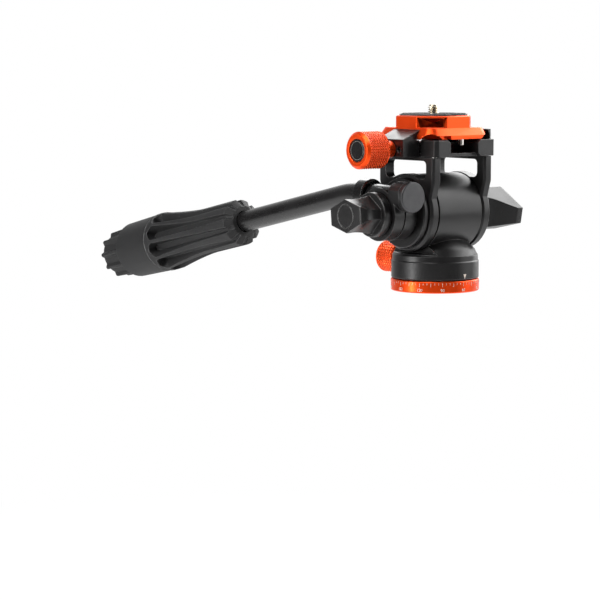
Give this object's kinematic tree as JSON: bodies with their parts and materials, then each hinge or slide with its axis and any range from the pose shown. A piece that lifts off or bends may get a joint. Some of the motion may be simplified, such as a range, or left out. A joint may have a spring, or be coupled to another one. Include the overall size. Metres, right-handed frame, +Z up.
{
  "type": "fluid video head",
  "caption": "Compact fluid video head for a tripod or monopod: pan base with scale ring, damped tilt cradle, quick release plate clamp and a pan bar with ribbed grip.",
  "frame": {"origin": "centre of the base's bottom face, on the pan axis, where the head stands on its support", "axes": "+Z up along the pan axis, -Y to the front where the lens looks, +Y back to the operator along the pan bar, -X to the side with the bar clamp; the tilt axis is parallel to X"},
  "size_m": [0.1205, 0.2996, 0.1188],
  "materials": {
    "black_anodised": "satin black anodised",
    "orange_anodised": "bright orange anodised",
    "dark_rubber": "matt moulded rubber",
    "bright_steel": "machined",
    "bearing_bronze": "sintered bearing bronze",
    "slick_plastic": "plain moulded acetal",
    "brushed_cap": "grey anodised, turned face"
  },
  "bodies": {
    "base": {"base_block": "black_anodised", "socket_insert": "bright_steel", "scale_ring": "orange_anodised", "thrust_washer": "slick_plastic", "pan_drag_rotor": "bright_steel", "pan_spring_washer": "bright_steel", "pan_retaining_nut": "bright_steel"},
    "pan_head": {"pan_housing": "black_anodised", "pan_drag_stator": "bearing_bronze", "pan_bush_lower": "bearing_bronze", "pan_bush_upper": "bearing_bronze", "tilt_bearing_left": "bearing_bronze", "tilt_bearing_right": "bearing_bronze", "tilt_damper_case": "black_anodised"},
    "pan_brake": {"pan_brake_shoe": "bearing_bronze"},
    "pan_knob": {"pan_lock_knob": "orange_anodised", "pan_lock_screw": "bright_steel"},
    "cradle": {"cradle_side_left": "black_anodised", "cradle_side_right": "black_anodised", "arm_boss": "black_anodised", "tilt_axle": "bright_steel", "tilt_damper_rotor": "slick_plastic", "clamp_tray": "black_anodised", "tray_screw_front_left": "bright_steel", "tray_screw_front_right": "bright_steel", "tray_screw_back_left": "bright_steel", "tray_screw_back_right": "bright_steel", "jaw_guide_front": "bright_steel", "jaw_guide_back": "bright_steel", "jaw_spring": "bright_steel"},
    "tilt_pressure": {"tilt_pressure_washer": "bright_steel"},
    "tilt_knob": {"tilt_lock_knob": "black_anodised", "tilt_lock_knob_insert": "bearing_bronze"},
    "arm_clamp": {"clamp_jaw_inner": "black_anodised", "arm_friction_washer": "slick_plastic"},
    "arm_outer": {"clamp_jaw_outer": "black_anodised"},
    "arm_knob": {"arm_lock_knob": "black_anodised", "arm_lock_knob_insert": "bearing_bronze"},
    "pan_bar": {"pan_bar_tube": "black_anodised", "bar_end_cap": "brushed_cap", "bar_collar": "black_anodised", "grip_core": "slick_plastic", "grip": "dark_rubber", "grip_end_plug": "black_anodised"},
    "plate_jaw": {"movable_jaw": "black_anodised"},
    "jaw_knob": {"plate_knob": "orange_anodised", "plate_knob_disc": "black_anodised", "plate_clamp_screw": "bright_steel"},
    "plate": {"quick_plate": "orange_anodised", "plate_pad": "dark_rubber", "stop_pin_front": "bright_steel", "stop_pin_back": "bright_steel"},
    "mount_screw": {"camera_screw": "bright_steel"}
  },
  "joints": [
    {"name": "pan", "type": "hinge", "parent": "base", "child": "pan_head", "pos_m": [0, 0, 0], "axis": [0, 0, 1], "continuous": true},
    {"name": "pan_brake_slide", "type": "slide", "parent": "pan_head", "child": "pan_brake", "axis": [0, 1, 0], "range_m": [0, 0.001]},
    {"name": "pan_knob_turn", "type": "hinge", "parent": "pan_brake", "child": "pan_knob", "pos_m": [0, 0, 0.01715], "axis": [0, 1, 0], "range_deg": [0, 360]},
    {"name": "tilt", "type": "hinge", "parent": "pan_head", "child": "cradle", "pos_m": [0, 0, 0.0463], "axis": [1, 0, 0], "range_deg": [-70, 90]},
    {"name": "tilt_lock_slide", "type": "slide", "parent": "cradle", "child": "tilt_pressure", "axis": [1, 0, 0], "range_m": [0, 0.00125]},
    {"name": "tilt_knob_turn", "type": "hinge", "parent": "tilt_pressure", "child": "tilt_knob", "pos_m": [0, 0, 0.0463], "axis": [1, 0, 0], "range_deg": [0, 360]},
    {"name": "arm_swing", "type": "hinge", "parent": "cradle", "child": "arm_clamp", "pos_m": [0, 0, 0.0463], "axis": [1, 0, 0], "range_deg": [-90, 35]},
    {"name": "arm_lock_slide", "type": "slide", "parent": "arm_clamp", "child": "arm_outer", "axis": [-1, 0, 0], "range_m": [0, 0.00125]},
    {"name": "arm_knob_turn", "type": "hinge", "parent": "arm_outer", "child": "arm_knob", "pos_m": [0, 0, 0.0463], "axis": [-1, 0, 0], "range_deg": [0, 360]},
    {"name": "bar_roll", "type": "hinge", "parent": "arm_clamp", "child": "pan_bar", "pos_m": [-0.0372, 0, 0.0568], "axis": [0, 1, 0], "continuous": true},
    {"name": "jaw_slide", "type": "slide", "parent": "cradle", "child": "plate_jaw", "axis": [-1, 0, 0], "range_m": [0, 0.00375]},
    {"name": "plate_knob_turn", "type": "hinge", "parent": "plate_jaw", "child": "jaw_knob", "pos_m": [0, 0, 0.0835], "axis": [-1, 0, 0], "range_deg": [0, 1080]},
    {"name": "plate_slide", "type": "slide", "parent": "cradle", "child": "plate", "axis": [0, 1, 0], "range_m": [-0.0095, 0.0055]},
    {"name": "camera_screw_turn", "type": "hinge", "parent": "plate", "child": "mount_screw", "pos_m": [0, 0.002, 0.1], "axis": [0, 0, 1], "continuous": true}
  ],
  "couplings": [
    {"joint": "pan_knob_turn", "follows": "pan_brake_slide", "rad_per_m": 6283.2},
    {"joint": "tilt_knob_turn", "follows": "tilt_lock_slide", "rad_per_m": 5026.5},
    {"joint": "arm_knob_turn", "follows": "arm_lock_slide", "rad_per_m": 5026.5},
    {"joint": "plate_knob_turn", "follows": "jaw_slide", "rad_per_m": 5026.5}
  ]
}
